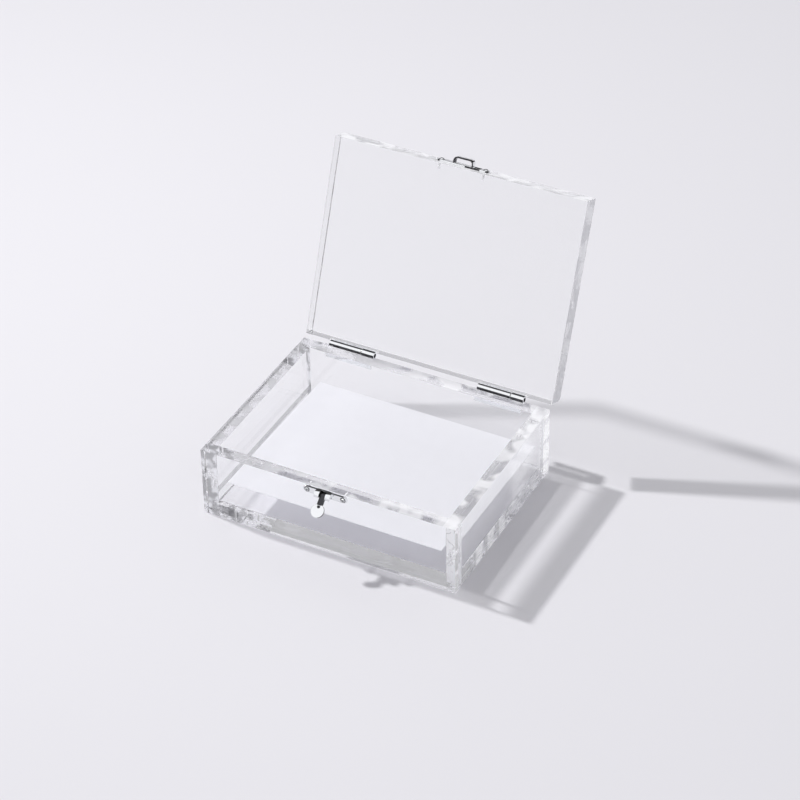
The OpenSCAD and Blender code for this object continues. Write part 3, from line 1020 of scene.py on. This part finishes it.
class CLEARBOX_OT_lever(Operator):
    """Makes the catch lever with its round thumb tab"""

    bl_idname = "clearbox.lever"
    bl_label = "Catch lever"

    def execute(self, context):
        reach = HOOD_W / 2 - HOOD_T - RUN_GAP
        back, end = PIVOT.y - LEVER_T / 2, PIVOT.z + TAB_REACH
        face, spot = back + TAB_SHIFT + LEVER_T, end - TAB_HOLE_IN
        knuckle = cross_rod("lever_tab", PIVOT, -reach, reach, LEVER_KNUCKLE_R)
        arm = block("lever_arm", (-ARM_W / 2, back, PIVOT.z), (ARM_W / 2, face, end - TAB_R + LEVER_T))
        for part in (knuckle, arm):
            soften(part, softening())
        tab = rod("lever_disc", (0, back + TAB_SHIFT, end), (0, face, end), TAB_R, 64)
        soften(tab, TAB_ROUND, 4)
        combine(tab, [rod("spot_cutter", (0, face - TAB_HOLE_DEEP, spot), (0, face + PAST, spot),
                          TAB_HOLE_R, 32)])
        piece = join([knuckle, arm, tab])
        turn(piece, 180 - LEVER_LEAN, PIVOT)
        lean = math.radians(LEVER_LEAN)
        way = Vector((0, -math.sin(lean), -math.cos(lean)))
        out = Vector((0, -math.cos(lean), math.sin(lean)))

        def dark(middle, normal):
            """Whether a face gets painted dark plating: a painted dark reflection on the arm and on the tab's
            right edge, and painted shade in its spot.
            """
            along, rise = (middle - PIVOT).dot(way), (middle - PIVOT).dot(out)
            on_edge = normal.x > 0.3 and abs(normal.dot(out)) < 0.6 and along > TAB_REACH - 0.7 * TAB_R
            in_spot = (math.hypot(middle.x, along - TAB_REACH + TAB_HOLE_IN) < TAB_HOLE_R + TOUCH
                       and back + TAB_SHIFT + 4 * TOUCH < rise + PIVOT.y < face - 2 * TOUCH)
            return along < TAB_REACH - TAB_R - 0.5 * MM or on_edge or in_spot

        finish_plated(piece, "lever", "catch_lever", dark)
        return {"FINISHED"}


class CLEARBOX_OT_keeper(Operator):
    """Makes the keeper with its staple and screws on the lid's free edge"""

    bl_idname = "clearbox.keeper"
    bl_label = "Keeper"

    leg = STAPLE_W / 2
    # From here to the end of the hollow beside the staple, the strip's lower edge gets painted shade
    dark_from = 1.5 * MM
    hollow_end = STAPLE_W / 2 + 4.6 * MM

    def staple(self):
        top = FRONT_Y - STAPLE_OUT
        piece = block("staple", (-self.leg, top, LID_MID_Z - STAPLE_STRIP / 2),
                      (self.leg, FRONT_Y - SKIN, LID_MID_Z + STAPLE_STRIP / 2))
        round_off(piece, "EDGE", lambda middle, way: abs(way.z) > 0.9 and near(middle.y, top),
                  STAPLE_BEND, 10)
        hollow_out(piece, lambda middle, normal: abs(normal.z) > 0.9, STAPLE_T)
        soften(piece, 0.18 * MM)
        return piece

    def dark(self, middle, normal):
        """Whether a face gets painted shade: in a dish, on the staple's sides and inside it, in a hollow of
        the strip and on parts of the strip's lower edge.
        """
        place, facing = shut(middle), shut_way(normal)
        out = FACE_Y - place.y
        if in_dish(place, KEEPER_LEN, LID_MID_Z):
            return True
        if out > 2 * TOUCH:
            inside = abs(place.x) < self.leg - STAPLE_T / 2 and place.y > FRONT_Y - STAPLE_OUT + STAPLE_T / 2
            return abs(facing.z) > 0.7 or inside
        if facing.z < -0.5 and abs(place.z - LID_MID_Z) > 1 * MM:
            return self.dark_from < place.x < self.hollow_end or abs(place.x) > KEEPER_LEN / 2 - 2 * MM
        return (-0.7 * MM < out < -2 * TOUCH and -self.leg < place.x < self.leg + 5 * MM
                and abs(place.z - LID_MID_Z) < 1.75 * MM)

    def execute(self, context):
        plate = strip("keeper_strip", KEEPER_LEN, LID_MID_Z)
        for x in (self.dark_from, self.hollow_end):
            open_piece(plate, "SELECT")
            bpy.ops.mesh.bisect(plane_co=(x, 0, 0), plane_no=(1, 0, 0))
            close_piece()
        sink_dishes(plate, KEEPER_LEN, LID_MID_Z)
        inside, half = self.leg - STAPLE_T, 1.7 * MM
        combine(plate, [block("hollow_cutter", (x0, FACE_Y - PAST, LID_MID_Z - half),
                              (x1, FACE_Y + HOLLOW_DEEP, LID_MID_Z + half))
                        for x0, x1 in ((-inside, inside), (self.leg + 0.6 * MM, self.hollow_end))])
        join([plate, self.staple()])
        open_lid(plate)
        finish_plated(plate, "lid", "keeper_plate", self.dark)
        fixings("keeper_fixings", KEEPER_LEN, LID_MID_Z, "lid", "keeper_screws")
        return {"FINISHED"}


class CLEARBOX_OT_card(Operator):
    """Makes the blank white card that the front and back walls hold"""

    bl_idname = "clearbox.card"
    bl_label = "Card"

    def execute(self, context):
        look = context.scene.box_card
        low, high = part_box("card")
        middle, size = (low + high) / 2, high - low
        depth = (size.y - look.thickness * math.sin(look.lean)) / math.cos(look.lean)
        reach = Vector((size.x, depth - 2 * SKIN, look.thickness - SKIN)) / 2
        piece = block("blank_card", middle - reach, middle + reach)
        soften(piece, 0.08 * MM)
        turn(piece, -math.degrees(look.lean), middle)
        finish_piece(piece, card_finish(), "box", "white_card", ("card",))
        return {"FINISHED"}


class CLEARBOX_OT_stage(Operator):
    """Makes the pale table, the studio light and the camera"""

    bl_idname = "clearbox.stage"
    bl_label = "Stage"

    def world(self, look):
        """Soft light all round. Glossy metal sees a pale backdrop, a wide soft box and the dark room."""
        world = bpy.data.worlds.new("Soft studio")
        bpy.context.scene.world = world
        world.use_nodes = True
        bench = NodeBench(world.node_tree)
        ray = bench.add("TexCoord").outputs["Generated"]
        path = bench.add("LightPath").outputs
        up, to_back = Vector((0, 0, 1)), Vector((0, 1, 0))
        to_soft_box = Vector((0, -0.545, 0.839)).normalized()

        def toward(way, start, stop, low=0, high=1):
            """Goes from low to high as a ray turns towards a way."""
            turned = bench.add("VectorMath", {0: ray, 1: way}, operation="DOT_PRODUCT").outputs["Value"]
            return bench.ramp(turned, start, stop, low, high)

        soft = toward(up, 0.35, 0.7, look.surround, look.sky)
        in_box = toward(to_soft_box, 0.44, 0.52)
        soft_box = bench.mix(in_box, look.room, look.box_level)
        glossy = bench.mix(toward(up, 0.06, 0.16, 1, 0), soft_box, look.backdrop)
        lit = bench.mix(path["Is Glossy Ray"], soft, glossy)
        far = toward(to_back, -0.35, 0, look.front_horizon, look.horizon)
        above = bench.mix(in_box, look.ceiling, look.box_level)
        inside = bench.mix(toward(up, 0.12, 0.35), far, above)
        through = bench.mix(path["Is Transmission Ray"], look.backdrop, inside)
        seen = bench.math("MAXIMUM", path["Is Camera Ray"], path["Is Transmission Ray"])
        level = bench.mix(seen, lit, through)
        light = bench.add("Background", {"Color": (0.975, 0.975, 1, 1), "Strength": level})
        bench.add("OutputWorld", {"Surface": light.outputs["Background"]})

    def lamp(self, look):
        """A small round lamp on the left, as even over the table as a far one."""
        place = Vector(look.key_place)
        bpy.ops.object.select_all(action="DESELECT")
        bpy.ops.object.light_add(type="AREA", location=place)
        lamp = bpy.context.active_object
        lamp.name = "Key lamp"
        lamp.data.shape = "DISK"
        lamp.data.size = look.key_size
        lamp.data.energy = look.key_power
        lamp.rotation_euler = (-place).to_track_quat("-Z", "Y").to_euler()
        lamp.data.use_nodes = True
        bench = NodeBench(lamp.data.node_tree)
        even = bench.add("LightFalloff", {"Strength": 1}).outputs["Constant"]
        glow = bench.add("Emission", {"Strength": even}).outputs["Emission"]
        bench.add("OutputLight", {"Surface": glow})

    def camera(self, look):
        az, el, roll = look.azimuth, look.elevation, look.roll
        back = Vector((math.sin(az) * math.cos(el), -math.cos(az) * math.cos(el), math.sin(el)))
        right = Vector((math.cos(az), math.sin(az), 0))
        up = back.cross(right)
        across = right * math.cos(roll) + up * math.sin(roll)
        above = up * math.cos(roll) - right * math.sin(roll)
        bpy.ops.object.camera_add(location=Vector(look.target) + back * look.distance)
        camera = bpy.context.active_object
        camera.name = "Camera"
        camera.data.lens = look.lens
        camera.data.sensor_width = 36
        camera.data.clip_start = 0.05
        camera.rotation_mode = "QUATERNION"
        camera.rotation_quaternion = Matrix((across, above, back)).transposed().to_quaternion()
        bpy.context.scene.camera = camera

    def execute(self, context):
        scene, look = context.scene, context.scene.box_stage
        bpy.ops.object.select_all(action="DESELECT")
        bpy.ops.mesh.primitive_circle_add(
            vertices=96, radius=4, fill_type="NGON", location=(0, 0, -0.25 * MM))
        floor = settle("Table")
        floor.data.materials.append(floor_finish())
        self.world(look)
        self.lamp(look)
        self.camera(look)
        scene.view_settings.view_transform = "Standard"
        scene.cycles.max_bounces = 40
        scene.cycles.transmission_bounces = 40
        scene.cycles.transparent_max_bounces = 32
        scene.cycles.glossy_bounces = 40
        return {"FINISHED"}


class CLEARBOX_PT_maker(Panel):
    """Lists the makers of the clear box's pieces"""

    bl_label = "Clear Box Maker"
    bl_idname = "CLEARBOX_PT_maker"
    bl_space_type = "VIEW_3D"
    bl_region_type = "UI"
    bl_category = "Clear Box"

    def draw(self, context):
        for name, kind in SETTINGS:
            box = self.layout.box()
            box.label(text=kind.__doc__)
            for setting in kind.__annotations__:
                box.prop(getattr(context.scene, name), setting)
        for maker in MAKERS:
            self.layout.operator(maker.bl_idname)


MAKERS = (
    CLEARBOX_OT_bonded_box,
    CLEARBOX_OT_seams,
    CLEARBOX_OT_lid_plate,
    CLEARBOX_OT_hinges,
    CLEARBOX_OT_catch,
    CLEARBOX_OT_lever,
    CLEARBOX_OT_keeper,
    CLEARBOX_OT_card,
    CLEARBOX_OT_stage,
)
SETTINGS = (
    ("clear_sheet", ClearSheetSettings),
    ("box_metal", MetalSettings),
    ("box_card", CardSettings),
    ("box_stage", StageSettings),
)


def register():
    for name, kind in SETTINGS:
        bpy.utils.register_class(kind)
        setattr(bpy.types.Scene, name, PointerProperty(type=kind))
    for kind in (*MAKERS, CLEARBOX_PT_maker):
        bpy.utils.register_class(kind)


def unregister():
    for kind in reversed((*MAKERS, CLEARBOX_PT_maker)):
        bpy.utils.unregister_class(kind)
    for name, kind in reversed(SETTINGS):
        delattr(bpy.types.Scene, name)
        bpy.utils.unregister_class(kind)


def main():
    register()
    bpy.ops.clearbox.bonded_box()
    bpy.ops.clearbox.seams()
    bpy.ops.clearbox.lid_plate()
    bpy.ops.clearbox.hinges()
    bpy.ops.clearbox.catch()
    bpy.ops.clearbox.lever()
    bpy.ops.clearbox.keeper()
    bpy.ops.clearbox.card()
    bpy.ops.clearbox.stage()


if __name__ == "__main__":
    main()
